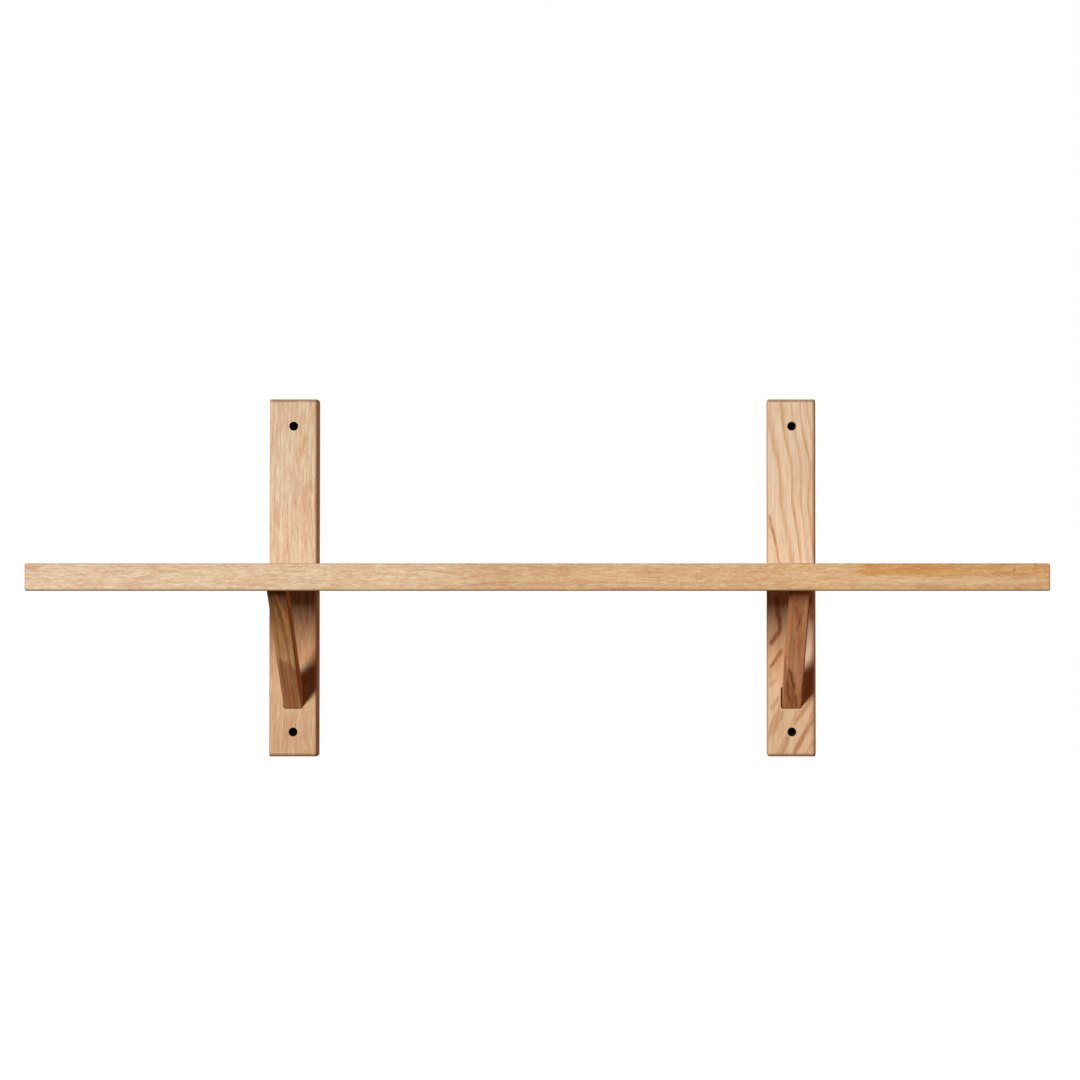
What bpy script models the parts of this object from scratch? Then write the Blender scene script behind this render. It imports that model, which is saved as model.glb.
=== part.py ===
"""Oak wall shelf on two upright wall plates, with a diagonal strut under it at each plate.

The shelf board is notched round the plates, so that its rear edge and the backs of the plates
lie flat on the wall. Each strut runs at 45 degrees and is housed at both ends: its foot in a
routed slot in the plate, its head in a slot under the shelf. Screws driven through the plates
from behind hold the shelf and the feet, and a dowel locates each head.

Frame, in metres: X along the shelf, +Y into the wall, +Z up. The wall is the plane Y = 0. The
origin is the middle of the shelf's rear edge, half way up its thickness.
"""

import math

import bmesh
import bpy
from mathutils import Matrix, Vector

# Shelf board
SHELF_LENGTH = 0.800
SHELF_DEPTH = 0.140
SHELF_THICKNESS = 0.0215
SHELF_ROUND = 0.0020

# Wall plates
PLATE_SPACING = 0.414
PLATE_WIDTH = 0.040
PLATE_THICKNESS = 0.018
PLATE_TOP = 0.148
PLATE_BOTTOM = -0.149
PLATE_ROUND = 0.0022

# Plain holes for the wall screws
WALL_HOLE_RADIUS = 0.0035
UPPER_HOLE_Z = 0.1255
HOLE_PITCH = 0.254

# Struts, at 45 degrees
STRUT_WIDTH = 0.016
STRUT_DEPTH = 0.012
STRUT_ROUND = 0.0018
STRUT_END_ROUND = 0.0020
TRIM_MARGIN = 0.0001
STRUT_FOOT_Z = -0.1087
FOOT_HOUSING = 0.009
HEAD_HOUSING = 0.007
SLOT_CLEARANCE = 0.0010
SLOT_ROUND = 0.0025

# Screws and dowels
SHELF_SCREW = {"length": 0.050, "shank": 0.00225, "head": 0.0043}
STRUT_SCREW = {"length": 0.024, "shank": 0.0018, "head": 0.0036}
SCREW_SINK = 0.0006
SCREW_RIM = 0.0004
SCREW_TAPER = 2.2
SHELF_SCREW_OFFSET = 0.010
STRUT_SCREW_Z = -0.098
DOWEL_RADIUS = 0.003
DOWEL_LENGTH = 0.014
DOWEL_RISE = 0.008

# Six-lobed driver recess, its radius and depth as shares of the head's radius
RECESS_RADIUS = 0.55
RECESS_DEPTH = 0.5
RECESS_LOBES = 6
RECESS_WAVE = 0.12
RECESS_STEPS = 36
RECESS_START = 0.001

GAP = 0.0003
OVERCUT = 0.010
BEVEL_SEGMENTS = 4
ROUND_SEGMENTS = 32
SMOOTH_ANGLE = math.radians(35)
MERGE_DISTANCE = 1e-7

HALF_THICKNESS = SHELF_THICKNESS / 2
STRUT_SECTION = STRUT_DEPTH * math.sqrt(2)
STRUT_HEAD_Y = -PLATE_THICKNESS - (-HALF_THICKNESS - STRUT_FOOT_Z)
STRUT_HEAD_Z = -HALF_THICKNESS + HEAD_HOUSING
STRUT_FOOT_Y = -PLATE_THICKNESS + FOOT_HOUSING

MATERIALS = {
    "oak_shelf": ((0.69, 0.47, 0.27), 0.52, 0.0),
    "oak_plate": ((0.73, 0.52, 0.34), 0.55, 0.0),
    "oak_strut": ((0.45, 0.24, 0.12), 0.55, 0.0),
    "beech_dowel": ((0.72, 0.50, 0.32), 0.70, 0.0),
    "zinc_steel": ((0.70, 0.66, 0.55), 0.32, 1.0),
}


def clear_scene():
    for old in list(bpy.data.objects):
        bpy.data.objects.remove(old, do_unlink=True)


def make_material(name):
    colour, roughness, metallic = MATERIALS[name]
    material = bpy.data.materials.new(name)
    material.use_nodes = True
    shader = material.node_tree.nodes["Principled BSDF"]
    shader.inputs["Base Color"].default_value = (*colour, 1.0)
    shader.inputs["Roughness"].default_value = roughness
    shader.inputs["Metallic"].default_value = metallic
    return material


def add_object(name, bm, place=Matrix(), material=None):
    """Turns a bmesh into an object whose location and rotation are those of place."""
    bmesh.ops.recalc_face_normals(bm, faces=bm.faces)
    mesh = bpy.data.meshes.new(name)
    bm.to_mesh(mesh)
    bm.free()
    if material:
        mesh.materials.append(material)
        mesh.shade_smooth()
        mesh.set_sharp_from_angle(angle=SMOOTH_ANGLE)
    thing = bpy.data.objects.new(name, mesh)
    thing.matrix_world = place
    bpy.context.scene.collection.objects.link(thing)
    return thing


def combine(target, name, bm, place=Matrix(), operation="DIFFERENCE"):
    """Cuts target with a hidden solid, or keeps only what lies inside it."""
    cutter = add_object(name, bm, place)
    cutter.hide_render = True
    cutter.display_type = "WIRE"
    boolean = target.modifiers.new(name, "BOOLEAN")
    boolean.operation = operation
    boolean.solver = "EXACT"
    boolean.object = cutter


def block(x_range, y_range, z_range):
    """A plain box between two values on each axis."""
    low = Vector((x_range[0], y_range[0], z_range[0]))
    high = Vector((x_range[1], y_range[1], z_range[1]))
    bm = bmesh.new()
    bmesh.ops.create_cube(bm, size=1.0)
    bmesh.ops.scale(bm, vec=high - low, verts=bm.verts)
    bmesh.ops.translate(bm, vec=(low + high) / 2, verts=bm.verts)
    return bm


def rounded_block(x_range, y_range, z_range, radius):
    """A box with every edge rounded over."""
    bm = block(x_range, y_range, z_range)
    bmesh.ops.bevel(
        bm, geom=bm.edges[:], offset=radius, segments=BEVEL_SEGMENTS, profile=0.5, affect="EDGES"
    )
    return bm


def rounded_prism(width, height, radius, length):
    """A bar along local Z, from 0 to length, whose section is a rectangle with round corners."""
    bm = bmesh.new()
    corners = [(1, 1), (-1, 1), (-1, -1), (1, -1)]
    outline = []
    for quarter, (side_x, side_y) in enumerate(corners):
        for step in range(BEVEL_SEGMENTS + 1):
            angle = (quarter + step / BEVEL_SEGMENTS) * math.pi / 2
            x = side_x * (width / 2 - radius) + radius * math.cos(angle)
            y = side_y * (height / 2 - radius) + radius * math.sin(angle)
            outline.append(bm.verts.new((x, y, 0.0)))
    face = bm.faces.new(outline)
    extruded = bmesh.ops.extrude_face_region(bm, geom=[face])["geom"]
    moved = [part for part in extruded if isinstance(part, bmesh.types.BMVert)]
    bmesh.ops.translate(bm, vec=(0, 0, length), verts=moved)
    return bm


def turned(profile):
    """A solid turned about local Z from (radius, height) points, the first and last on the axis."""
    bm = bmesh.new()
    points = [bm.verts.new((radius, 0.0, height)) for radius, height in profile]
    edges = [bm.edges.new(pair) for pair in zip(points, points[1:])]
    bmesh.ops.spin(
        bm,
        geom=points + edges,
        cent=(0, 0, 0),
        axis=(0, 0, 1),
        angle=math.tau,
        steps=ROUND_SEGMENTS,
        use_merge=True,
    )
    bmesh.ops.remove_doubles(bm, verts=bm.verts, dist=MERGE_DISTANCE)
    return bm


def cylinder(radius, length):
    return turned([(0, 0), (radius, 0), (radius, length), (0, length)])


def screw_profile(size, grow=0.0):
    """A countersunk wood screw, its head at height 0 and its point at the screw's length."""
    shank = size["shank"] + grow
    head = size["head"] + grow
    neck = SCREW_RIM + head - shank
    end = size["length"] + grow
    point = end - SCREW_TAPER * shank
    return [(0, -grow), (head, -grow), (head, SCREW_RIM), (shank, neck), (shank, point), (0, end)]


def six_lobe(head):
    """The recess for a six-lobed driver, as a star-shaped bar along local Z."""
    bm = bmesh.new()
    outline = []
    for step in range(RECESS_STEPS):
        angle = math.tau * step / RECESS_STEPS
        wave = 1 - RECESS_WAVE + RECESS_WAVE * math.cos(RECESS_LOBES * angle)
        reach = RECESS_RADIUS * head * wave
        x, y = reach * math.cos(angle), reach * math.sin(angle)
        outline.append(bm.verts.new((x, y, -RECESS_START)))
    face = bm.faces.new(outline)
    extruded = bmesh.ops.extrude_face_region(bm, geom=[face])["geom"]
    moved = [part for part in extruded if isinstance(part, bmesh.types.BMVert)]
    bmesh.ops.translate(bm, vec=(0, 0, RECESS_DEPTH * head + RECESS_START), verts=moved)
    return bm


def from_wall(x, z, sink=0.0):
    """A place whose local Z points out of the wall towards the room."""
    return Matrix.Translation((x, -sink, z)) @ Matrix.Rotation(math.pi / 2, 4, "X")


def make_screw(name, size, place, material):
    screw = add_object(name, turned(screw_profile(size)), place, material)
    combine(screw, name + "_recess", six_lobe(size["head"]), place)
    return screw


def bore_for_screw(target, name, size, place):
    """Cuts the screw's own shape out of a piece that it passes through, a little larger."""
    profile = screw_profile(size, GAP)
    profile[0] = (0, -OVERCUT)
    profile[1] = (profile[1][0], -OVERCUT)
    combine(target, f"{target.name}_{name}_bore", turned(profile), place)


def make_shelf(material):
    bm = rounded_block(
        (-SHELF_LENGTH / 2, SHELF_LENGTH / 2),
        (-SHELF_DEPTH, 0.0),
        (-HALF_THICKNESS, HALF_THICKNESS),
        SHELF_ROUND,
    )
    return add_object("shelf_board", bm, material=material)


def make_plate(side_name, x, material):
    bm = rounded_block(
        (-PLATE_WIDTH / 2, PLATE_WIDTH / 2),
        (-PLATE_THICKNESS, 0.0),
        (PLATE_BOTTOM, PLATE_TOP),
        PLATE_ROUND,
    )
    plate = add_object(f"wall_plate_{side_name}", bm, Matrix.Translation((x, 0, 0)), material)
    for level, z in (("upper", UPPER_HOLE_Z), ("lower", UPPER_HOLE_Z - HOLE_PITCH)):
        hole = cylinder(WALL_HOLE_RADIUS, PLATE_THICKNESS + 2 * OVERCUT)
        combine(plate, f"wall_hole_{level}_{side_name}", hole, from_wall(x, z, -OVERCUT))
    slot_height = STRUT_SECTION + 2 * SLOT_CLEARANCE
    slot_middle = STRUT_FOOT_Z + STRUT_SECTION / 2
    slot = rounded_prism(
        STRUT_WIDTH + 2 * SLOT_CLEARANCE, slot_height, SLOT_ROUND, FOOT_HOUSING + OVERCUT
    )
    combine(plate, f"foot_slot_{side_name}", slot, from_wall(x, slot_middle, -STRUT_FOOT_Y - GAP))
    return plate


def make_strut(side_name, x, material):
    """A bar at 45 degrees, trimmed level and plumb at both ends to fit its two housings."""
    bar_length = 2 * (STRUT_HEAD_Z - STRUT_FOOT_Z)
    bm = rounded_prism(STRUT_WIDTH, STRUT_DEPTH, STRUT_ROUND, bar_length)
    lean = Matrix.Rotation(math.pi / 4, 4, "X")
    along = lean @ Vector((0, 0, 1))
    across = lean @ Vector((0, 1, 0))
    foot = Vector((x, -PLATE_THICKNESS, STRUT_FOOT_Z))
    start = foot + across * (STRUT_DEPTH / 2) - along * (bar_length / 4)
    strut = add_object(f"strut_{side_name}", bm, Matrix.Translation(start) @ lean, material)
    half_trim = STRUT_WIDTH / 2 + TRIM_MARGIN
    trim = rounded_block(
        (x - half_trim, x + half_trim),
        (STRUT_HEAD_Y, STRUT_FOOT_Y),
        (STRUT_FOOT_Z, STRUT_HEAD_Z),
        STRUT_END_ROUND,
    )
    combine(strut, f"strut_trim_{side_name}", trim, operation="INTERSECT")
    return strut


def cut_shelf_for_bracket(shelf, side_name, x):
    """The notch round the plate, and the slot under the shelf for the strut's head."""
    half_notch = PLATE_WIDTH / 2 + GAP
    notch = block(
        (x - half_notch, x + half_notch),
        (-PLATE_THICKNESS - GAP, OVERCUT),
        (-SHELF_THICKNESS, SHELF_THICKNESS),
    )
    combine(shelf, f"plate_notch_{side_name}", notch)
    slot = rounded_prism(
        STRUT_WIDTH + 2 * SLOT_CLEARANCE,
        STRUT_SECTION + 2 * SLOT_CLEARANCE,
        SLOT_ROUND,
        HEAD_HOUSING + OVERCUT + GAP,
    )
    middle = (x, STRUT_HEAD_Y + STRUT_SECTION / 2, -HALF_THICKNESS - OVERCUT)
    combine(shelf, f"head_slot_{side_name}", slot, Matrix.Translation(middle))


def add_dowel(shelf, strut, side_name, x, material):
    """A dowel standing in the middle of the strut's head, with its upper end in the shelf."""
    y = STRUT_HEAD_Y + (STRUT_SECTION - HEAD_HOUSING) / 2
    bottom = STRUT_HEAD_Z + DOWEL_RISE - DOWEL_LENGTH
    place = Matrix.Translation((x, y, bottom))
    add_object(f"strut_dowel_{side_name}", cylinder(DOWEL_RADIUS, DOWEL_LENGTH), place, material)
    bore_place = place @ Matrix.Translation((0, 0, -GAP))
    for target in (shelf, strut):
        bore = cylinder(DOWEL_RADIUS + GAP, DOWEL_LENGTH + 2 * GAP)
        combine(target, f"{target.name}_dowel_bore_{side_name}", bore, bore_place)


def add_screws(shelf, plate, strut, side_name, x, material):
    """Two screws through the plate into the shelf's edge, and one into the strut's foot."""
    for position, offset in (("left", -SHELF_SCREW_OFFSET), ("right", SHELF_SCREW_OFFSET)):
        name = f"shelf_screw_{side_name}_{position}"
        place = from_wall(x + offset, 0.0, SCREW_SINK)
        make_screw(name, SHELF_SCREW, place, material)
        bore_for_screw(plate, name, SHELF_SCREW, place)
        bore_for_screw(shelf, name, SHELF_SCREW, place)
    name = f"strut_screw_{side_name}"
    place = from_wall(x, STRUT_SCREW_Z, SCREW_SINK)
    make_screw(name, STRUT_SCREW, place, material)
    bore_for_screw(plate, name, STRUT_SCREW, place)
    bore_for_screw(strut, name, STRUT_SCREW, place)


def build():
    clear_scene()
    finish = {name: make_material(name) for name in MATERIALS}
    shelf = make_shelf(finish["oak_shelf"])
    for side_name, side in (("left", -1), ("right", 1)):
        x = side * PLATE_SPACING / 2
        plate = make_plate(side_name, x, finish["oak_plate"])
        strut = make_strut(side_name, x, finish["oak_strut"])
        cut_shelf_for_bracket(shelf, side_name, x)
        add_dowel(shelf, strut, side_name, x, finish["beech_dowel"])
        add_screws(shelf, plate, strut, side_name, x, finish["zinc_steel"])


build()
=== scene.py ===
"""Looks for the oak wall shelf: sanded oak pieces, threaded screws and fluted dowels, built
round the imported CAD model. Metres, X along the shelf, +Y into the wall, +Z up."""

import math

import bmesh
import bpy
from mathutils import Matrix, Vector, noise


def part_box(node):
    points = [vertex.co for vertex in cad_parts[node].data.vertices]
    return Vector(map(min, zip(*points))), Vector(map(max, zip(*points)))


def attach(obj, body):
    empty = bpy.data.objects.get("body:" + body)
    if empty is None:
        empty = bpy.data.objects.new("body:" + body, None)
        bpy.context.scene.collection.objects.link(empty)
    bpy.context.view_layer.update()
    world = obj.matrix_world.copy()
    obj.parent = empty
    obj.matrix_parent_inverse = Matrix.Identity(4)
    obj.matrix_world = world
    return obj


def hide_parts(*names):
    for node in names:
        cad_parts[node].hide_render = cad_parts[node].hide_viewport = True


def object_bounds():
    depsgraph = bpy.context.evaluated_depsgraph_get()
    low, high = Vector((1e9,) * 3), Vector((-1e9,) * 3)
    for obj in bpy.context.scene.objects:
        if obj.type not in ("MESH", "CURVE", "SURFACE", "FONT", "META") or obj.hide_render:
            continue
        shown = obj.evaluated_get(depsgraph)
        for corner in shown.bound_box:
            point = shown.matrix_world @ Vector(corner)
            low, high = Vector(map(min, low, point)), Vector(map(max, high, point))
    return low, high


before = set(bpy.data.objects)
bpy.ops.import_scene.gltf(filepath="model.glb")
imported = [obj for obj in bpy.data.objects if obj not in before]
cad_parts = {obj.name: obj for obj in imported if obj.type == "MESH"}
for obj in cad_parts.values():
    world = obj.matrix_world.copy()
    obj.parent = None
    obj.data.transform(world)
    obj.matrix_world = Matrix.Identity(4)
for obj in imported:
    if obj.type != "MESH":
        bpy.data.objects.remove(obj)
cad_low, cad_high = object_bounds()

BODY = "root"
MM = 0.001
ALONG_X = Matrix.Rotation(math.pi / 2, 4, "Y")
OUT_OF_WALL = Matrix.Rotation(math.pi / 2, 4, "X")
STRUT_LEAN = Matrix.Rotation(math.pi / 4, 4, "X")

shelf_low, shelf_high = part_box("shelf_board")
SIDES = ("left", "right")

# Sizes that a node's box doesn't give. Arrises are the radii of a bar's four long edges, in
# turn from the one at its own +X and +Y.
PLATE_ARRISES = {
    "left": (2.0 * MM, 2.0 * MM, 1.1 * MM, 2.9 * MM),
    "right": (2.0 * MM, 2.0 * MM, 1.3 * MM, 4.0 * MM),
}
SHELF_ARRISES = (1.5 * MM, 1.5 * MM, 1.2 * MM, 2.0 * MM)
STRUT_ARRISES = (1.4 * MM, 1.4 * MM, 2.2 * MM, 1.5 * MM)
PLATE_END_ROUND = 3.0 * MM
SHELF_END_ROUND = 1.1 * MM
STRUT_END_ROUND = 2.0 * MM
STRUT_DEPTH = 12 * MM
STRUT_SECTION = STRUT_DEPTH * math.sqrt(2)
SLOT_CLEARANCE = 1.0 * MM
SLOT_ROUND = 2.5 * MM

# The gaps left and right of each strut's foot in its slot, as wide as they are seen
FOOT_GAPS = {"left": (0.4 * MM, 0.4 * MM), "right": (1.25 * MM, 0.5 * MM)}
FOOT_GAP_BELOW = 0.5 * MM

HOLE_RADIUS = 3.5 * MM
HOLE_INSETS = {"upper": 22.5 * MM, "lower": 20.5 * MM}
GAP = 0.3 * MM
OVERCUT = 10 * MM
CORNER_STEPS = 7
ROUND_STEPS = 64
BORE_STEPS = 40
SHARP_EDGE = math.radians(32)


# ---------------------------------------------------------------- mesh tools


def to_mesh(bm, name):
    bmesh.ops.recalc_face_normals(bm, faces=bm.faces)
    mesh = bpy.data.meshes.new(name)
    bm.to_mesh(mesh)
    bm.free()
    return mesh


def add_object(name, mesh, place=Matrix()):
    thing = bpy.data.objects.new(name, mesh)
    thing.matrix_world = place
    bpy.context.scene.collection.objects.link(thing)
    return thing


def loft(rings):
    """A closed body through rings of points that all have the same count."""
    bm = bmesh.new()
    rows = [[bm.verts.new(point) for point in ring] for ring in rings]
    count = len(rows[0])
    for near, far in zip(rows, rows[1:]):
        for i in range(count):
            j = (i + 1) % count
            bm.faces.new((near[i], near[j], far[j], far[i]))
    bm.faces.new(rows[0])
    bm.faces.new(reversed(rows[-1]))
    return bm


def section(half_x, half_y, radii, z):
    """A rectangle with round corners at height z. A support point beside each corner keeps the
    flat sides flat when shaded."""
    support = 0.35 * MM
    points = []
    corners = ((1, 1), (-1, 1), (-1, -1), (1, -1))
    for quarter, ((side_x, side_y), radius) in enumerate(zip(corners, radii)):
        centre = Vector((side_x * (half_x - radius), side_y * (half_y - radius), z))
        arc = []
        for step in range(CORNER_STEPS + 1):
            angle = (quarter + step / CORNER_STEPS) * math.pi / 2
            arc.append(centre + radius * Vector((math.cos(angle), math.sin(angle), 0)))
        before = Vector((math.sin(quarter * math.pi / 2), -math.cos(quarter * math.pi / 2), 0))
        after_angle = (quarter + 1) * math.pi / 2
        after = Vector((-math.sin(after_angle), math.cos(after_angle), 0))
        points += [arc[0] + support * before, *arc, arc[-1] + support * after]
    return points


def end_stations(half, end_round):
    """Where the rounding of a bar's lower end puts its sections, as (height, inset)."""
    stations = []
    for k in range(CORNER_STEPS + 1):
        angle = k / CORNER_STEPS * math.pi / 2
        height = -half + end_round * (1 - math.cos(angle))
        stations.append((height, end_round * (1 - math.sin(angle))))
    return stations


def sanded_bar(width, depth, length, arrises, end_round, seed, step=10 * MM, pinch=1.0):
    """A bar of wood along local Z, its edges rounded over by hand, so a little unevenly. arrises
    are the radii of its four long edges, and pinch is how much of the ends' rounding its width
    gets."""
    unevenness = 0.22
    waves_per_metre = 22
    least = 0.25 * MM
    half = length / 2
    inner = length - 2 * end_round
    count = max(2, round(inner / step))
    near_end = end_stations(half, end_round)
    middle = [(-half + end_round + inner * k / count, 0.0) for k in range(1, count)]
    far_end = [(-z, inset) for z, inset in reversed(near_end)]
    rings = []
    for z, inset in near_end + middle + far_end:
        radii = []
        for corner, arris in enumerate(arrises):
            where = Vector((z * waves_per_metre, corner * 7.3 + seed, seed * 1.7))
            uneven = arris * (1 + unevenness * noise.noise(where))
            radii.append(max(uneven - 0.75 * inset, least))
        rings.append(section(width / 2 - pinch * inset, depth / 2 - inset, radii, z))
    return loft(rings)


def block(low, high):
    bm = bmesh.new()
    low, high = Vector(low), Vector(high)
    bmesh.ops.create_cube(bm, size=1.0)
    bmesh.ops.scale(bm, vec=high - low, verts=bm.verts)
    bmesh.ops.translate(bm, vec=(low + high) / 2, verts=bm.verts)
    return bm


def round_prism(width, height, radius, length):
    """A bar along local Z, from 0 to length, with round corners in its section."""
    return loft([section(width / 2, height / 2, [radius] * 4, z) for z in (0.0, length)])


def polar_ring(height, steps, reach_at):
    """Points about local Z. reach_at gives how far out the one at each angle is."""
    ring = []
    for step in range(steps):
        angle = math.tau * step / steps
        reach = reach_at(angle)
        ring.append(Vector((reach * math.cos(angle), reach * math.sin(angle), height)))
    return ring


def turned(profile, steps=ROUND_STEPS):
    """A body turned about local Z through (radius, height) points that start and end off it."""
    return loft([polar_ring(height, steps, lambda angle: radius) for radius, height in profile])


def carve(bm, name, cuts, operation="DIFFERENCE"):
    """Cuts each (bmesh, place) out of a body and returns the mesh that is left."""
    target = add_object(name + "_raw", to_mesh(bm, name + "_raw"))
    cutters = []
    for number, (shape, place) in enumerate(cuts):
        cutter = add_object(f"{name}_cut_{number}", to_mesh(shape, f"{name}_cut_{number}"), place)
        boolean = target.modifiers.new(f"cut_{number}", "BOOLEAN")
        boolean.operation = operation
        boolean.solver = "EXACT"
        boolean.object = cutter
        cutters.append(cutter)
    graph = bpy.context.evaluated_depsgraph_get()
    mesh = bpy.data.meshes.new_from_object(target.evaluated_get(graph))
    mesh.name = name
    for used in [target, *cutters]:
        bpy.data.objects.remove(used, do_unlink=True)
    return mesh


def finish_piece(name, mesh, place, material, nodes):
    """Shades a mesh, gives it its material and sets it in the frame in place of CAD nodes."""
    mesh.materials.clear()
    mesh.materials.append(material)
    mesh.shade_smooth()
    mesh.set_sharp_from_angle(angle=SHARP_EDGE)
    piece = add_object(name, mesh, place)
    normals = piece.modifiers.new("even_shading", "WEIGHTED_NORMAL")
    normals.keep_sharp = True
    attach(piece, BODY)
    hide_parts(*nodes)
    return piece


# ---------------------------------------------------------------- shader tools


def linear(red, green, blue):
    """A display colour out of 255 as the linear colour that shaders take."""
    def decode(value):
        value /= 255
        return value / 12.92 if value <= 0.04045 else ((value + 0.055) / 1.055) ** 2.4
    return (decode(red), decode(green), decode(blue), 1.0)


class Graph:
    """Short forms for the nodes that the materials are written with."""

    def __init__(self, name):
        self.material = bpy.data.materials.new(name)
        self.material.use_nodes = True
        self.nodes = self.material.node_tree.nodes
        self.links = self.material.node_tree.links
        self.shader = self.nodes["Principled BSDF"]

    def feed(self, socket, value):
        if isinstance(value, bpy.types.NodeSocket):
            self.links.new(value, socket)
        else:
            socket.default_value = value

    def node(self, kind, *values, **settings):
        made = self.nodes.new(kind)
        for key, value in settings.items():
            setattr(made, key, value)
        for position, value in enumerate(values):
            if value is not None:
                self.feed(made.inputs[position], value)
        return made

    def maths(self, operation, *values):
        return self.node("ShaderNodeMath", *values, operation=operation).outputs[0]

    def add(self, first, second):
        return self.maths("ADD", first, second)

    def subtract(self, first, second):
        return self.maths("SUBTRACT", first, second)

    def multiply(self, first, second):
        return self.maths("MULTIPLY", first, second)

    def vector(self, operation, *values):
        made = self.node("ShaderNodeVectorMath", *values, operation=operation)
        return made.outputs["Value"] if operation in ("DOT_PRODUCT", "LENGTH") else made.outputs[0]

    def times(self, vector, factors):
        return self.vector("MULTIPLY", vector, factors)

    def split(self, vector):
        return self.node("ShaderNodeSeparateXYZ", vector).outputs

    def join(self, x, y, z):
        return self.node("ShaderNodeCombineXYZ", x, y, z).outputs[0]

    def position(self):
        """The place on the piece in its own frame, in mm."""
        place = self.node("ShaderNodeTexCoord").outputs["Object"]
        return self.times(place, (1000.0, 1000.0, 1000.0))

    def noise(self, vector, detail=2.0, roughness=0.5):
        made = self.node("ShaderNodeTexNoise")
        self.feed(made.inputs["Vector"], vector)
        made.inputs["Scale"].default_value = 1.0
        made.inputs["Detail"].default_value = detail
        made.inputs["Roughness"].default_value = roughness
        return made.outputs

    def wander(self, vector, reach, detail=2.0):
        """A smooth random offset, of up to half its reach either way."""
        offset = self.vector("SUBTRACT", self.noise(vector, detail)["Color"], (0.5, 0.5, 0.5))
        return self.times(offset, reach)

    def cells(self, vector):
        made = self.node("ShaderNodeTexVoronoi")
        self.feed(made.inputs["Vector"], vector)
        made.inputs["Scale"].default_value = 1.0
        return made.outputs

    def scaled(self, value, low, high, start, end, easing="LINEAR"):
        """A change from start to end while value goes from low to high."""
        made = self.node("ShaderNodeMapRange", interpolation_type=easing)
        self.feed(made.inputs["Value"], value)
        limits = {"From Min": low, "From Max": high, "To Min": start, "To Max": end}
        for name, limit in limits.items():
            made.inputs[name].default_value = limit
        return made.outputs["Result"]

    def band(self, value, low, high, start=0.0, end=1.0):
        """The same change, but smooth at both ends."""
        return self.scaled(value, low, high, start, end, "SMOOTHSTEP")

    def blend(self, factor, first, second):
        made = self.node("ShaderNodeMix", data_type="RGBA")
        self.feed(made.inputs[0], factor)
        self.feed(made.inputs[6], first)
        self.feed(made.inputs[7], second)
        return made.outputs[2]

    def ramp(self, value, stops):
        made = self.node("ShaderNodeValToRGB", value)
        ramp = made.color_ramp
        ramp.interpolation = "EASE"
        while len(ramp.elements) < len(stops):
            ramp.elements.new(0.5)
        for element, (position, colour) in zip(ramp.elements, stops):
            element.position = position
            element.color = colour
        return made.outputs[0]

    def stroke(self, face, start, end, width):
        """A soft mark along a line on a piece's face, tapering towards both ends."""
        start, end = Vector((*start, 0.0)), Vector((*end, 0.0))
        run = end - start
        reach = self.vector("SUBTRACT", face, tuple(start))
        share = self.vector("DOT_PRODUCT", reach, tuple(run))
        share = self.maths("DIVIDE", share, run.length_squared)
        share = self.node("ShaderNodeClamp", share).outputs[0]
        nearest = self.vector("SCALE", tuple(run), None, None, share)
        away = self.vector("LENGTH", self.vector("SUBTRACT", reach, nearest))
        from_middle = self.maths("ABSOLUTE", self.subtract(share, 0.5))
        taper = self.band(from_middle, 0.52, 0.30)
        return self.multiply(self.band(away, width, 0.2 * width), taper)

    def curve(self, value, points, span, reach):
        """A drawn curve: value runs over span, and the curve's height over plus or minus reach."""
        low, high = span
        made = self.node("ShaderNodeFloatCurve")
        self.feed(made.inputs["Value"], self.scaled(value, low, high, 0.0, 1.0))
        line = made.mapping.curves[0]
        while len(line.points) < len(points):
            line.points.new(0.5, 0.5)
        for point, (place, height) in zip(line.points, points):
            point.location = ((place - low) / (high - low), 0.5 + height / (2 * reach))
        made.mapping.update()
        return self.scaled(made.outputs[0], 0.0, 1.0, -reach, reach)

    def bump(self, height, strength, distance):
        """Gives the surface a relief."""
        made = self.node("ShaderNodeBump")
        made.inputs["Strength"].default_value = strength
        made.inputs["Distance"].default_value = distance
        self.feed(made.inputs["Height"], height)
        self.feed(self.shader.inputs["Normal"], made.outputs[0])


# ---------------------------------------------------------------- wood

ROSY = (0.70, 0.29, 0.18, 1.0)
SANDY = (0.72, 0.62, 0.27, 1.0)
PORE_BROWN = (0.20, 0.09, 0.036, 1.0)
END_GRAIN = (0.30, 0.15, 0.065, 1.0)
# Painted shade inside the wall-screw holes, where little light reaches.
BORE_SHADE_BLACK = (0.01, 0.007, 0.006, 1.0)
OAK_ROUGHNESS = 0.55


def distance_from_pith(g, position, shifted, pith, figure, warp):
    """How far each place is from the middle of the tree. figure is a drawn bend of the grain
    along the piece: points gives the shift across, and closing how much closer together the
    rings lie. warp is how far the grain wanders."""
    x, y, z = g.split(position)
    if figure:
        x = g.add(x, g.curve(z, figure["points"], figure["span"], figure["reach"]))
        if "closing" in figure:
            closing = g.curve(z, figure["closing"], figure["span"], 1.0)
            x = g.multiply(x, g.add(closing, 1.0))
    from_pith = g.join(g.subtract(x, pith[0]), g.subtract(y, pith[1]), 0.0)
    slow = g.wander(g.times(shifted, (0.022, 0.022, 0.0055)), (2 * warp, 2 * warp, 0.0))
    quick = g.wander(g.times(shifted, (0.16, 0.16, 0.014)), (1.6, 1.6, 0.0))
    return g.vector("LENGTH", g.vector("ADD", g.vector("ADD", from_pith, slow), quick))


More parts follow.
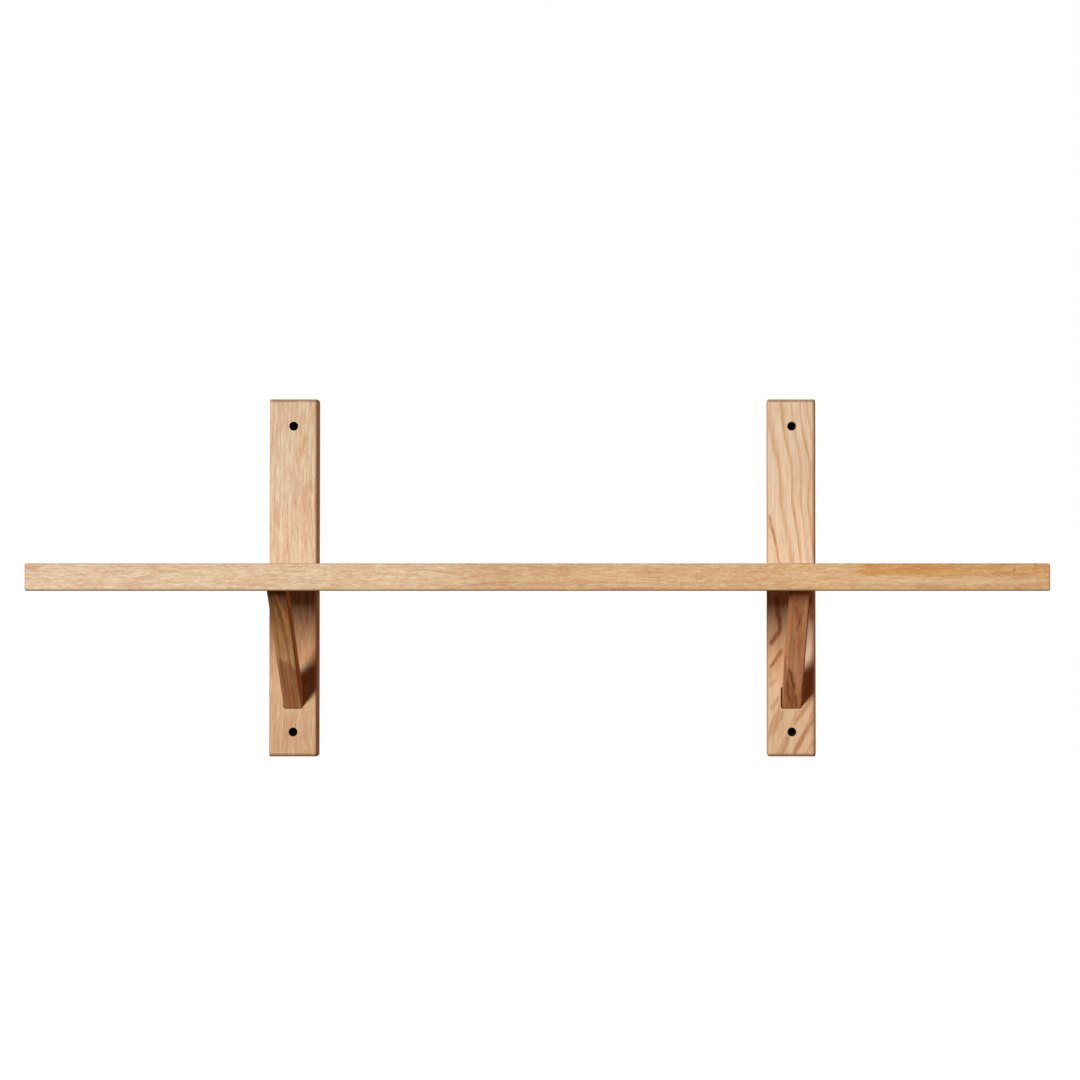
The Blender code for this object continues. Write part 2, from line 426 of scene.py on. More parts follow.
def growth_rings(g, radius, shifted, seed, ring, phase, uneven_years, line_width, line_lows):
    """How much each place is early wood, and the line that each ring draws. line_lows are the
    strengths of the weakest year's line and of a line's weakest patch."""
    rings = g.add(g.maths("DIVIDE", radius, ring), phase)
    uneven = g.noise(g.join(g.multiply(radius, 0.11), 3.1 * seed, 0.0), detail=1.0)["Fac"]
    rings = g.add(rings, g.multiply(uneven, uneven_years))
    age = g.maths("FRACT", rings)
    early = g.multiply(g.band(age, 0.0, 0.10), g.band(age, 0.10, line_width, 1.0, 0.0))
    year = g.node("ShaderNodeTexWhiteNoise", noise_dimensions="1D")
    g.feed(year.inputs["W"], g.maths("FLOOR", rings))
    strong_year = g.scaled(year.outputs["Value"], 0.0, 1.0, line_lows[0], 1.0)
    patchy = g.noise(g.times(shifted, (0.30, 0.30, 0.035)), detail=3.0)["Fac"]
    line = g.multiply(early, strong_year)
    return early, g.multiply(line, g.band(patchy, 0.32, 0.56, line_lows[1], 1.0))


def open_pores(g, shifted, early):
    """Fine pores, which gather in the early wood, and coarse dashes, both along the grain."""
    fine = g.cells(g.times(shifted, (2.1, 2.1, 0.16)))
    chosen = g.band(g.split(fine["Color"])[0], 0.50, 0.62)
    pore = g.multiply(g.band(fine["Distance"], 0.10, 0.30, 1.0, 0.0), chosen)
    pore = g.multiply(pore, g.scaled(early, 0.0, 1.0, 0.35, 1.0))
    coarse = g.cells(g.times(g.vector("ADD", shifted, (5.0, 8.0, 2.0)), (1.1, 1.1, 0.11)))
    chosen = g.band(g.split(coarse["Color"])[1], 0.55, 0.85)
    return pore, g.multiply(g.band(coarse["Distance"], 0.10, 0.38, 1.0, 0.0), chosen)


def fibre_noises(g, shifted, streaks):
    """The random patterns that the fibres follow. streaks is their fineness across and along
    the grain."""
    across, along = streaks
    other = g.vector("ADD", shifted, (9.0, 4.0, 7.0))
    rows = {
        "streak": (shifted, (across, across, along), 3.0, 0.6),
        "broad": (shifted, (0.4 * across, 0.4 * across, 0.3 * along), 2.0, 0.5),
        "tint": (other, (0.6 * across, 0.6 * across, 0.6 * along), 2.0, 0.5),
        "fibre": (shifted, (1.9, 1.9, 2.5 * along), 3.0, 0.65),
        "cloud": (shifted, (0.06, 0.06, 0.011), 3.0, 0.5),
    }
    return {
        kind: g.noise(g.times(where, fineness), detail, roughness)["Fac"]
        for kind, (where, fineness, detail, roughness) in rows.items()
    }


def fibre_colour(g, colour, fibres, contrast):
    """The wood's colour, by turns rosier and sandier and shaded along its fibres. What is
    darker is also redder."""
    rosy = g.blend(0.15 * contrast, colour, ROSY)
    sandy = g.blend(0.13 * contrast, colour, SANDY)
    colour = g.blend(g.band(fibres["tint"], 0.40, 0.60), rosy, sandy)
    shade = 0.0
    for kind, reach in (("streak", 0.22), ("broad", 0.14), ("fibre", 0.12), ("cloud", 0.05)):
        shade = g.add(g.scaled(fibres[kind], 0.2, 0.8, -reach, reach), shade)
    shade = g.maths("MULTIPLY_ADD", shade, contrast, 1.0)
    deeper = g.maths("POWER", shade, 1.8)
    deepest = g.maths("POWER", shade, 2.5)
    return g.vector("MULTIPLY", colour, g.join(shade, deeper, deepest))


def draw_marks(g, colour, position, shifted, streak, marks):
    """Strokes on the face that is seen, with ragged edges."""
    x, _, z = g.split(position)
    ragged = g.wander(g.times(shifted, (0.35, 0.35, 0.12)), (3.0, 3.0, 0.0), detail=3.0)
    face = g.vector("ADD", g.join(x, z, 0.0), ragged)
    grainy = g.scaled(streak, 0.3, 0.7, 0.7, 1.2)
    for start, end, width, mark_tone, strength in marks:
        mark = g.multiply(g.stroke(face, start, end, width), grainy)
        colour = g.blend(g.multiply(mark, strength), colour, mark_tone)
    return colour


def end_grain(g, grain):
    """How squarely a surface cuts across the grain's direction in the object."""
    facing = g.node("ShaderNodeNewGeometry").outputs["Normal"]
    return g.band(g.maths("ABSOLUTE", g.vector("DOT_PRODUCT", facing, grain)), 0.04, 0.24)


def paint_shaded_flank(g, colour, shaded_flank):
    """Painted shade: gives the side at the piece's own +X, which turns away from the key light, another
    colour, set to how that side looks in shade.
    """
    own_x, _, _ = g.split(g.node("ShaderNodeTexCoord").outputs["Normal"])
    side = g.band(own_x, 0.45, 0.85)
    return g.blend(g.multiply(side, 0.8), colour, shaded_flank)


def darken_arrises(g, colour, line_tone):
    """Darkens the rounded edges, where no part of the normal is near 1, towards the grain lines'
    colour.
    """
    own = g.node("ShaderNodeTexCoord").outputs["Normal"]
    own_x, own_y, own_z = g.split(g.vector("ABSOLUTE", own))
    flatness = g.maths("MAXIMUM", g.maths("MAXIMUM", own_x, own_y), own_z)
    return g.blend(g.multiply(g.band(flatness, 0.992, 0.82), 0.50), colour, line_tone)


def paint_shade_in_bores(g, colour, position, bores):
    """Painted shade: the holes at these places, (x, z) in mm, are painted near-black inside, where
    little light reaches.
    """
    x, _, z = g.split(position)
    radius = HOLE_RADIUS / MM
    for middle_x, middle_z in bores:
        away = g.vector("SUBTRACT", g.join(x, z, 0.0), (middle_x, middle_z, 0.0))
        bore_shade = g.band(g.vector("LENGTH", away), radius + 0.30, radius + 0.05)
        colour = g.blend(g.multiply(bore_shade, 0.95), colour, BORE_SHADE_BLACK)
    return colour


def oak(
    name,
    grain,
    tone,
    line_tone,
    pith,
    ring,
    seed,
    staves=None,
    figure=None,
    line_strength=0.5,
    line_width=0.5,
    line_lows=(0.45, 0.35),
    phase=0.0,
    uneven_years=0.6,
    warp=3.0,
    pore_strength=0.5,
    streaks=(1.0, 0.055),
    contrast=1.0,
    marks=(),
    bores=(),
    shaded_flank=None,
    end_strength=0.7,
):
    """Oak sawn from a tree: growth rings about a pith, wandering fibres, and pores that run
    with the grain. Distances are in mm in the piece's own frame, whose Z is the grain, and grain
    is that direction in the object. tone is a function of the graph and the position that
    returns a colour, and staves one that returns a stave's row and number. The functions above
    say what the other settings mean."""
    g = Graph(name)
    position = g.position()
    shifted = g.vector("ADD", position, (seed * 37.0, seed * 91.0, seed * 53.0))
    if staves:
        row, stave = staves(g, position)
        shifted = g.vector("ADD", shifted, g.times(g.join(row, row, stave), (23.0, 41.0, 310.0)))
    radius = distance_from_pith(g, position, shifted, pith, figure, warp)
    early, line = growth_rings(
        g, radius, shifted, seed, ring, phase, uneven_years, line_width, line_lows,
    )
    pore, dash = open_pores(g, shifted, early)
    fibres = fibre_noises(g, shifted, streaks)
    end = end_grain(g, grain)

    colour = fibre_colour(g, tone(g, position), fibres, contrast)
    colour = g.blend(g.multiply(line, line_strength), colour, line_tone)
    colour = g.blend(g.multiply(dash, 0.50 * pore_strength), colour, line_tone)
    colour = g.blend(g.multiply(pore, 0.50 * pore_strength), colour, PORE_BROWN)
    colour = draw_marks(g, colour, position, shifted, fibres["streak"], marks)
    uneven_end = g.scaled(fibres["broad"], 0.35, 0.65, end_strength, 0.6 * end_strength)
    colour = g.blend(g.multiply(end, uneven_end), colour, END_GRAIN)
    if shaded_flank:
        colour = paint_shaded_flank(g, colour, shaded_flank)
    colour = darken_arrises(g, colour, line_tone)
    colour = paint_shade_in_bores(g, colour, position, bores)
    g.feed(g.shader.inputs["Base Color"], colour)

    rough = g.scaled(fibres["fibre"], 0.25, 0.75, OAK_ROUGHNESS - 0.05, OAK_ROUGHNESS + 0.06)
    rough = g.add(rough, g.multiply(pore, 0.15))
    g.feed(g.shader.inputs["Roughness"], g.add(rough, g.multiply(end, 0.12)))
    g.shader.inputs["Specular IOR Level"].default_value = 0.25
    raised = g.multiply(fibres["fibre"], 0.22)
    height = g.subtract(raised, g.multiply(pore, 0.8))
    height = g.subtract(height, g.multiply(line, 0.18))
    g.bump(height, strength=0.5, distance=0.00014)
    return g.material


def plate_tone_and_painted_shade(upper, middle, lower):
    """A plate's colour, which is deeper below the shelf, with a darker, redder band round the strut's
    upper half: painted shade, the warm edge of the shelf's and the strut's shadows.
    """
    def tone(g, position):
        _, _, z = g.split(position)
        whole = g.blend(g.band(z, 14.0, -18.0), upper, lower)
        # Painted shade: the middle tone stands for the warm edge of the shelf's and the strut's
        # shadows.
        near = g.multiply(g.band(z, -16.0, -34.0), g.band(z, -92.0, -62.0))
        return g.blend(near, whole, middle)
    return tone


def shelf_staves(g, position):
    """The board is glued from rows of staves side by side. Returns the row, which is 0 at the
    front, and the stave's number along it, which stays 0 all along the front."""
    _, depth, along = g.split(position)
    half_depth = (shelf_high.y - shelf_low.y) / 2 / MM
    row = g.scaled(depth, -half_depth, half_depth - 0.1, 0.0, STAVE_ROWS - 0.001)
    row = g.maths("FLOOR", row)
    behind = g.maths("MINIMUM", row, 1.0)
    stave = g.maths("MULTIPLY_ADD", row, 0.37, g.maths("DIVIDE", along, STAVE_LENGTH))
    return row, g.multiply(g.maths("FLOOR", stave), behind)


def shelf_tone(g, position):
    """The shelf's colour: paler and pinker at its left end, more golden towards its right, where
    another stave begins that is darker along its upper half. Staves behind the front one differ
    a little in colour."""
    down, _, along = g.split(position)
    half_length = (shelf_high.x - shelf_low.x) / 2 / MM
    wander = g.noise(g.times(position, (0.05, 0.05, 0.02)))["Fac"]
    ragged = g.noise(g.times(position, (0.5, 0.5, 0.03)), detail=3.0)["Fac"]
    place = g.add(along, g.scaled(wander, 0.0, 1.0, -45.0, 45.0))
    base = g.ramp(g.scaled(place, -half_length, half_length, 0.0, 1.0), SHELF_TONES)

    row, stave = shelf_staves(g, position)
    behind = g.maths("MINIMUM", row, 1.0)
    second = g.add(along, g.scaled(ragged, 0.0, 1.0, -14.0, 14.0))
    second = g.band(second, SECOND_STAVE - 12.0, SECOND_STAVE + 12.0)
    edge = g.add(down, g.scaled(wander, 0.0, 1.0, -2.5, 2.5))
    edge = g.add(edge, g.scaled(ragged, 0.0, 1.0, -2.0, 2.0))
    upper = g.multiply(g.band(edge, 0.2, -2.6), g.band(along, 345.0, 300.0, 0.55, 1.0))
    upper = g.multiply(upper, g.subtract(1.0, behind))
    colour = g.blend(g.multiply(second, upper), base, AMBER)

    draw = g.node("ShaderNodeTexWhiteNoise", noise_dimensions="2D")
    g.feed(draw.inputs["Vector"], g.join(row, stave, 0.0))
    amber, cream, _ = g.split(draw.outputs["Color"])
    amber = g.multiply(g.scaled(amber, 0.0, 1.0, 0.0, 0.55), behind)
    cream = g.multiply(g.scaled(cream, 0.0, 1.0, 0.0, 0.45), behind)
    return g.blend(cream, g.blend(amber, colour, AMBER), CREAM)


def strut_tone(shades, nose, nose_end, slant):
    """A strut's colour along it, with a darker, redder stretch next to its foot. nose_end is how
    far along the strut that reaches, and slant how much it shrinks with each mm across."""
    def tone(g, position):
        x, _, z = g.split(position)
        shade = g.ramp(g.scaled(z, 0.0, STRUT_SEEN, 0.0, 1.0), shades)
        ragged = g.noise(g.times(position, (0.7, 0.3, 0.05)), detail=3.0)["Fac"]
        edge = g.add(z, g.scaled(ragged, 0.0, 1.0, -16.0, 16.0))
        edge = g.add(edge, g.multiply(x, slant))
        return g.blend(g.band(edge, nose_end - 3.0, nose_end + 3.0), nose, shade)
    return tone


def plain_wood(name, colour, seed):
    """Turned beech: even, with short fine flecks."""
    g = Graph(name)
    position = g.vector("ADD", g.position(), (seed, seed, seed))
    fleck = g.cells(g.times(position, (2.4, 2.4, 0.45)))["Distance"]
    grain = g.noise(g.times(position, (1.6, 1.6, 0.12)), detail=3.0)["Fac"]
    tint = g.blend(g.band(fleck, 0.08, 0.30, 0.45, 0.0), colour, (0.36, 0.19, 0.10, 1.0))
    tint = g.vector("SCALE", tint, None, None, g.scaled(grain, 0.25, 0.75, 0.90, 1.10))
    g.feed(g.shader.inputs["Base Color"], tint)
    g.feed(g.shader.inputs["Roughness"], g.scaled(grain, 0.25, 0.75, 0.62, 0.78))
    g.bump(grain, strength=0.4, distance=0.0001)
    return g.material


def zinc(name):
    """Bright zinc plate, faintly yellow, with drawn lines and dull patches."""
    g = Graph(name)
    position = g.position()
    patch = g.noise(g.times(position, (0.6, 0.6, 0.6)), detail=4.0)["Fac"]
    drawn = g.noise(g.times(position, (5.0, 5.0, 0.6)))["Fac"]
    tint = g.blend(g.band(patch, 0.35, 0.68), (0.66, 0.61, 0.48, 1.0), (0.74, 0.73, 0.70, 1.0))
    g.feed(g.shader.inputs["Base Color"], tint)
    g.shader.inputs["Metallic"].default_value = 1.0
    rough = g.scaled(patch, 0.3, 0.7, 0.24, 0.40)
    rough = g.add(rough, g.scaled(drawn, 0.2, 0.8, -0.04, 0.05))
    g.feed(g.shader.inputs["Roughness"], rough)
    g.bump(drawn, strength=0.25, distance=0.00004)
    return g.material


# ---------------------------------------------------------------- hardware shapes

HEAD_LAND = 0.4 * MM


def screw_size(node):
    """A screw's length, head radius and shank radius. A board's screw is thicker than a
    strut's."""
    low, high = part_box(node)
    shank = 2.25 * MM if node.startswith("shelf") else 1.8 * MM
    return high.y - low.y, (high.x - low.x) / 2, shank


def bore_profile(length, head, shank):
    """The hole that takes a screw: a countersink, then a clearance a little over its shank."""
    grown_head, grown = head + GAP, shank + GAP
    neck = HEAD_LAND + grown_head - grown
    end = length + GAP
    return [
        (grown_head, -OVERCUT),
        (grown_head, HEAD_LAND),
        (grown, neck),
        (grown, end - 2.2 * grown),
        (0.05 * MM, end),
    ]


def six_lobe(radius, depth):
    """The star recess in a screw's head."""
    rings = []
    for height, shrink in ((-1 * MM, 1.0), (depth * 0.85, 0.98), (depth, 0.80)):
        def reach_at(angle):
            return radius * shrink * (0.87 + 0.13 * math.cos(6 * angle))
        rings.append(polar_ring(height, 48, reach_at))
    return loft(rings)


def threaded_screw(length, head, shank):
    """A countersunk wood screw, its head at height 0. The thread is a ridge that climbs one
    pitch for each turn, and fades out under the plain neck and into the point."""
    pitch = 0.95 * shank
    core = 0.66 * shank
    neck = HEAD_LAND + head - shank
    plain_end = neck + 0.28 * length
    point_start = length - 2.6 * shank
    ridge_width = 0.26
    tip = 0.06 * MM
    steps = 24
    rows = 7
    smooth = [
        (head * 0.985, 0.0),
        (head, 0.10 * MM),
        (head, 0.34 * MM),
        (head * 0.97, 0.46 * MM),
        (shank * 1.25, neck - 0.3 * MM),
        (shank * 0.92, neck + 0.6 * MM),
        (shank * 0.92, plain_end - 0.4 * MM),
    ]
    rings = [polar_ring(height, steps, lambda angle: radius) for radius, height in smooth]
    count = int((length - plain_end) / pitch * rows)
    for k in range(count + 1):
        height = plain_end + (length - plain_end) * k / count
        taper = min(1.0, max(0.0, (length - height) / (length - point_start)))
        grow = min(1.0, (height - plain_end) / pitch)

        def reach_at(angle):
            turn = (height / pitch - angle / math.tau) % 1.0
            ridge = max(0.0, 1.0 - abs(turn - 0.5) / ridge_width)
            return max((core + (shank - core) * ridge * grow) * taper, tip)

        rings.append(polar_ring(height, steps, reach_at))
    return loft(rings)


def fluted_dowel(radius, length):
    """A glue dowel: pressed flutes along it and a chamfer at both ends."""
    flutes = 18
    groove_depth = 0.18 * MM
    chamfer = 0.8 * MM
    rings = []
    for height, shrink in ((0, chamfer), (chamfer, 0), (length - chamfer, 0), (length, chamfer)):
        def reach_at(angle):
            groove = groove_depth * (0.5 + 0.5 * math.cos(flutes * angle))
            return radius - shrink * 0.8 - groove
        rings.append(polar_ring(height, 4 * flutes, reach_at))
    return loft(rings)


# ---------------------------------------------------------------- the pieces


def screws_of(side):
    return [f"shelf_screw_{side}_{hand}" for hand in SIDES] + [f"strut_screw_{side}"]


def screw_place(node):
    """Where a screw's head is, with local Z pointing along the screw into the room."""
    low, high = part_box(node)
    return Matrix.Translation(((low.x + high.x) / 2, high.y, (low.z + high.z) / 2)) @ OUT_OF_WALL


def bores_in(inverse, nodes):
    """The cuts that a piece needs for these screws, in the piece's own frame."""
    cuts = []
    for node in nodes:
        shape = turned(bore_profile(*screw_size(node)), BORE_STEPS)
        cuts.append((shape, inverse @ screw_place(node)))
    return cuts


def plate_middle(side):
    low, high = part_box(f"wall_plate_{side}")
    return (low + high) / 2


def foot_slot(side, inverse):
    """The routed slot for a strut's foot, taken from where the strut's box ends."""
    low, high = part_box(f"strut_{side}")
    left_gap, right_gap = FOOT_GAPS[side]
    width = high.x - low.x + left_gap + right_gap
    height = STRUT_SECTION + FOOT_GAP_BELOW + SLOT_CLEARANCE
    shape = round_prism(width, height, SLOT_ROUND, 4 * OVERCUT)
    middle_x = (low.x + high.x + right_gap - left_gap) / 2
    middle = Vector((middle_x, high.y + GAP, low.z - FOOT_GAP_BELOW + height / 2))
    return shape, inverse @ Matrix.Translation(middle) @ OUT_OF_WALL


def head_slot(side, inverse):
    """The slot in the board's underside that houses a strut's head."""
    low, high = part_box(f"strut_{side}")
    width = high.x - low.x + 2 * SLOT_CLEARANCE
    shape = round_prism(width, STRUT_SECTION + 2 * SLOT_CLEARANCE, SLOT_ROUND, 4 * OVERCUT)
    top = Vector(((low.x + high.x) / 2, low.y + STRUT_SECTION / 2, high.z + GAP - 4 * OVERCUT))
    return shape, inverse @ Matrix.Translation(top)


def wall_holes(side):
    """The middles of a plate's two wall-screw holes."""
    low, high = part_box(f"wall_plate_{side}")
    middle = plate_middle(side)
    return {
        "upper": Vector((middle.x, middle.y, high.z - HOLE_INSETS["upper"])),
        "lower": Vector((middle.x, middle.y, low.z + HOLE_INSETS["lower"])),
    }


def drilled_hole(depth):
    """A drilled hole with its two mouths slightly eased."""
    ease = 0.25 * MM
    half = depth / 2
    return turned([
        (HOLE_RADIUS + OVERCUT, -half - OVERCUT),
        (HOLE_RADIUS + ease, -half),
        (HOLE_RADIUS, -half + ease),
        (HOLE_RADIUS, half - ease),
        (HOLE_RADIUS + ease, half),
        (HOLE_RADIUS + OVERCUT, half + OVERCUT),
    ])


def make_plate(side, material):
    low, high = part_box(f"wall_plate_{side}")
    size = high - low
    place = Matrix.Translation(plate_middle(side))
    inverse = place.inverted()
    rounds = PLATE_ARRISES[side]
    bar = sanded_bar(size.x, size.y, size.z, rounds, PLATE_END_ROUND, seed=len(side), pinch=0.3)
    cuts = []
    for middle in wall_holes(side).values():
        cuts.append((drilled_hole(size.y), inverse @ Matrix.Translation(middle) @ OUT_OF_WALL))
    cuts.append(foot_slot(side, inverse))
    cuts += bores_in(inverse, screws_of(side))
    name = f"oak_wall_plate_{side}"
    finish_piece(name, carve(bar, name, cuts), place, material, [f"wall_plate_{side}"])


def make_strut(side, material):
    """A leaning bar, cut to the strut's box so that its foot and head end flat."""
    low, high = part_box(f"strut_{side}")
    middle_x = (low.x + high.x) / 2
    across = STRUT_LEAN @ Vector((0, 1, 0))
    length = 2 * (high.z - low.z)
    foot = Vector((middle_x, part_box(f"wall_plate_{side}")[0].y, low.z)) + across * STRUT_DEPTH / 2
    place = Matrix.Translation(foot) @ STRUT_LEAN
    inverse = place.inverted()
    bar = sanded_bar(high.x - low.x, STRUT_DEPTH, length, STRUT_ARRISES, STRUT_END_ROUND, 3 + len(side))
    bmesh.ops.translate(bar, vec=(0, 0, length / 4), verts=bar.verts)
    margin = Vector((0.1 * MM, 0, 0))
    size = high - low + 2 * margin
    rounds = (STRUT_END_ROUND,) * 4
    trim = sanded_bar(size.x, size.y, size.z, rounds, STRUT_END_ROUND, seed=1, step=size.z)
    name = f"oak_strut_{side}"
    trimmed = carve(bar, name, [(trim, inverse @ Matrix.Translation((low + high) / 2))], "INTERSECT")
    bm = bmesh.new()
    bm.from_mesh(trimmed)
    cuts = bores_in(inverse, [f"strut_screw_{side}"]) + [dowel_bore(side, inverse)]
    finish_piece(name, carve(bm, name, cuts), place, material, [f"strut_{side}"])


def dowel_bore(side, inverse):
    low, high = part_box(f"strut_dowel_{side}")
    radius = (high.x - low.x) / 2 + GAP
    bottom = Vector(((low.x + high.x) / 2, (low.y + high.y) / 2, low.z - GAP))
    shape = turned([(radius, 0), (radius, high.z - low.z + 2 * GAP)], BORE_STEPS)
    return shape, inverse @ Matrix.Translation(bottom)


def make_shelf(material):
    """The board, whose own +X is down and +Z along the object's X."""
    size = shelf_high - shelf_low
    place = Matrix.Translation((shelf_low + shelf_high) / 2) @ ALONG_X
    inverse = place.inverted()
    bar = sanded_bar(size.z, size.y, size.x, SHELF_ARRISES, SHELF_END_ROUND, seed=11)
    cuts = []
    for side in SIDES:
        low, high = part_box(f"wall_plate_{side}")
        notch = block((low.x - GAP, low.y - GAP, -4 * OVERCUT), (high.x + GAP, OVERCUT, 4 * OVERCUT))
        cuts.append((notch, inverse))
        cuts.append(head_slot(side, inverse))
        cuts.append(dowel_bore(side, inverse))
        cuts += bores_in(inverse, screws_of(side)[:2])
    name = "oak_shelf_board"
    finish_piece(name, carve(bar, name, cuts), place, material, ["shelf_board"])


def make_hardware(side, steel, beech):
    for node in screws_of(side):
        length, head, shank = screw_size(node)
        name = node.replace("screw", "threaded_screw")
        recess = six_lobe(0.55 * head, 0.5 * head)
        mesh = carve(threaded_screw(length, head, shank), name, [(recess, Matrix())])
        finish_piece(name, mesh, screw_place(node), steel, [node])
    node = f"strut_dowel_{side}"
    low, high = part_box(node)
    mesh = to_mesh(fluted_dowel((high.x - low.x) / 2, high.z - low.z), node)
    place = Matrix.Translation(((low.x + high.x) / 2, (low.y + high.y) / 2, low.z))
    finish_piece(f"fluted_dowel_{side}", mesh, place, beech, [node])


# ---------------------------------------------------------------- the room

CAMERA_DISTANCE = 1.989
CAMERA_X = 0.0671
CAMERA_PITCH = math.radians(0.888)
FRAME_WIDTH = 0.8972
SENSOR = 36.0
SHIFT_X = -0.0772
FLOOR_DROP = 0.9
FLOOR_REACH = 12.0
DISC_BEFORE_WALL = 0.5 * MM
AMBIENT = 0.065
AMBIENT_COLOUR = (1.0, 0.62, 0.42, 1.0)

# The key light is a softbox in three strips. Their colour by how high each stands, in degrees
KEY_STRIPS = {7.1: (1.0, 0.92, 0.86), 12.9: (1.0, 1.0, 0.99), 18.7: (1.0, 1.05, 1.08)}
WARM = (1.0, 0.46, 0.24)


def make_camera():
    """Level with the shelf, all but square to the wall, and right of the shelf's middle."""
    data = bpy.data.cameras.new("camera")
    data.sensor_width = SENSOR
    data.lens = SENSOR * CAMERA_DISTANCE / FRAME_WIDTH
    data.shift_x = SHIFT_X
    camera = bpy.data.objects.new("camera", data)
    plate_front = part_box("wall_plate_left")[0].y
    camera.location = (CAMERA_X, plate_front - CAMERA_DISTANCE, 0.0)
    camera.rotation_euler = (math.pi / 2 + CAMERA_PITCH, 0, 0)
    bpy.context.scene.collection.objects.link(camera)
    bpy.context.scene.camera = camera


def add_softbox(name, azimuth, elevation, distance, width, height, power, colour=(1, 1, 1)):
    """A soft light aimed at the object. Azimuth 0 is straight in front, and it grows leftwards.
    Width and height are the angles that it fills, and power is what it would give at 1 m."""
    a, e = math.radians(azimuth), math.radians(elevation)
    away = Vector((-math.sin(a) * math.cos(e), -math.cos(a) * math.cos(e), math.sin(e)))
    data = bpy.data.lights.new(name, "AREA")
    data.shape = "RECTANGLE"
    data.size = 2 * distance * math.tan(math.radians(width / 2))
    data.size_y = 2 * distance * math.tan(math.radians(height / 2))
    data.energy = power * distance**2
    data.color = colour
    light = bpy.data.objects.new(name, data)
    light.location = away * distance
    light.rotation_euler = away.to_track_quat("Z", "Y").to_euler()
    light.visible_camera = False
    bpy.context.scene.collection.objects.link(light)


def make_lights():
    for elevation, colour in KEY_STRIPS.items():
        add_softbox(
            f"key_{elevation:.0f}", azimuth=34.5, elevation=elevation, distance=9.0,
            width=7, height=5.78, power=3.4, colour=colour,
        )
    add_softbox(
        "fill", azimuth=-90, elevation=-6, distance=4.0, width=24, height=24, power=2.6,
        colour=WARM,
    )
    add_softbox("rear", azimuth=180, elevation=28, distance=4.0, width=24, height=18, power=6.0)


def make_world():
    """A white studio to look at, which lights the object only faintly and warmly."""
    world = bpy.data.worlds.new("studio")
    bpy.context.scene.world = world
    world.use_nodes = True
    nodes, links = world.node_tree.nodes, world.node_tree.links
    seen = nodes["Background"]
    seen.inputs["Color"].default_value = (1, 1, 1, 1)
    felt = nodes.new("ShaderNodeBackground")
    felt.inputs["Color"].default_value = AMBIENT_COLOUR
    felt.inputs["Strength"].default_value = AMBIENT
    choose = nodes.new("ShaderNodeMixShader")
    path = nodes.new("ShaderNodeLightPath")
    links.new(path.outputs["Is Camera Ray"], choose.inputs[0])
    links.new(felt.outputs[0], choose.inputs[1])
    links.new(seen.outputs[0], choose.inputs[2])
    links.new(choose.outputs[0], nodes["World Output"].inputs["Surface"])


def make_floor():
    """A pale floor well below, bright enough to run into the white behind it. It sends no light
    back up, so that the undersides stay as dark as on a wall."""
    g = Graph("pale_floor")
    g.shader.inputs["Base Color"].default_value = (0.8, 0.8, 0.8, 1)
    g.shader.inputs["Roughness"].default_value = 0.9
    g.shader.inputs["Specular IOR Level"].default_value = 0.0
    g.shader.inputs["Emission Color"].default_value = (1, 1, 1, 1)
    g.shader.inputs["Emission Strength"].default_value = 1.0
    bm = bmesh.new()
    bmesh.ops.create_grid(bm, x_segments=4, y_segments=4, size=FLOOR_REACH)
    mesh = to_mesh(bm, "floor")
    mesh.materials.append(g.material)
    floor = add_object("floor", mesh, Matrix.Translation((0, 0, cad_low.z - FLOOR_DROP)))
    floor.visible_diffuse = False
    floor.visible_glossy = False


def make_shade_discs_in_holes():
    """The unlit wall seen at the bottom of each screw hole, as a near-black disc of painted shade
    that shows from the room only: from behind, the holes are open."""
    g = Graph("unlit_wall")
    # Near-black: painted shade for the wall behind the hole, which no light reaches.
    g.shader.inputs["Base Color"].default_value = (0.004, 0.0035, 0.004, 1)
    g.shader.inputs["Roughness"].default_value = 1.0
    g.shader.inputs["Specular IOR Level"].default_value = 0.0
    clear = g.node("ShaderNodeBsdfTransparent")
    behind = g.node("ShaderNodeNewGeometry").outputs["Backfacing"]
    shown = g.node("ShaderNodeMixShader", behind, g.shader.outputs[0], clear.outputs[0])
    g.links.new(shown.outputs[0], g.nodes["Material Output"].inputs["Surface"])
    for side in SIDES:
        for level, middle in wall_holes(side).items():
            name = f"painted_shade_in_hole_{level}_{side}"
            bm = bmesh.new()
            bmesh.ops.create_circle(bm, cap_ends=True, radius=HOLE_RADIUS * 0.995, segments=40)
            mesh = bpy.data.meshes.new(name)
            bm.to_mesh(mesh)
            bm.free()
            mesh.materials.append(g.material)
            back = Vector((middle.x, -DISC_BEFORE_WALL, middle.z))
            add_object(name, mesh, Matrix.Translation(back) @ OUT_OF_WALL)


# ---------------------------------------------------------------- putting it together

UPRIGHT = (0.0, 0.0, 1.0)
LENGTHWISE = (1.0, 0.0, 0.0)
LEANING = tuple(STRUT_LEAN @ Vector((0, 0, 1)))

RUSSET = linear(160, 86, 42)
UMBER = linear(120, 62, 34)
AMBER = linear(219, 161, 95)
TAN = linear(206, 152, 106)
RUST = linear(168, 92, 50)
HONEY = linear(232, 184, 128)
CREAM = linear(240, 214, 184)
HOOK = linear(150, 74, 40)
FLAME = linear(180, 108, 40)
GOLD = linear(216, 154, 88)
LEFT_LOWER = linear(215, 177, 139)
RIGHT_LOWER = linear(229, 191, 152)

SHELF_TONES = [
    (0.00, linear(230, 204, 174)),
    (0.18, linear(229, 200, 166)),
    (0.38, linear(232, 202, 165)),
    (0.46, linear(216, 177, 134)),
    (0.62, linear(229, 190, 145)),
    (0.78, linear(230, 189, 138)),
    (1.00, linear(228, 185, 133)),
]
STAVE_ROWS = 4
STAVE_LENGTH = 270.0
SECOND_STAVE = 250.0

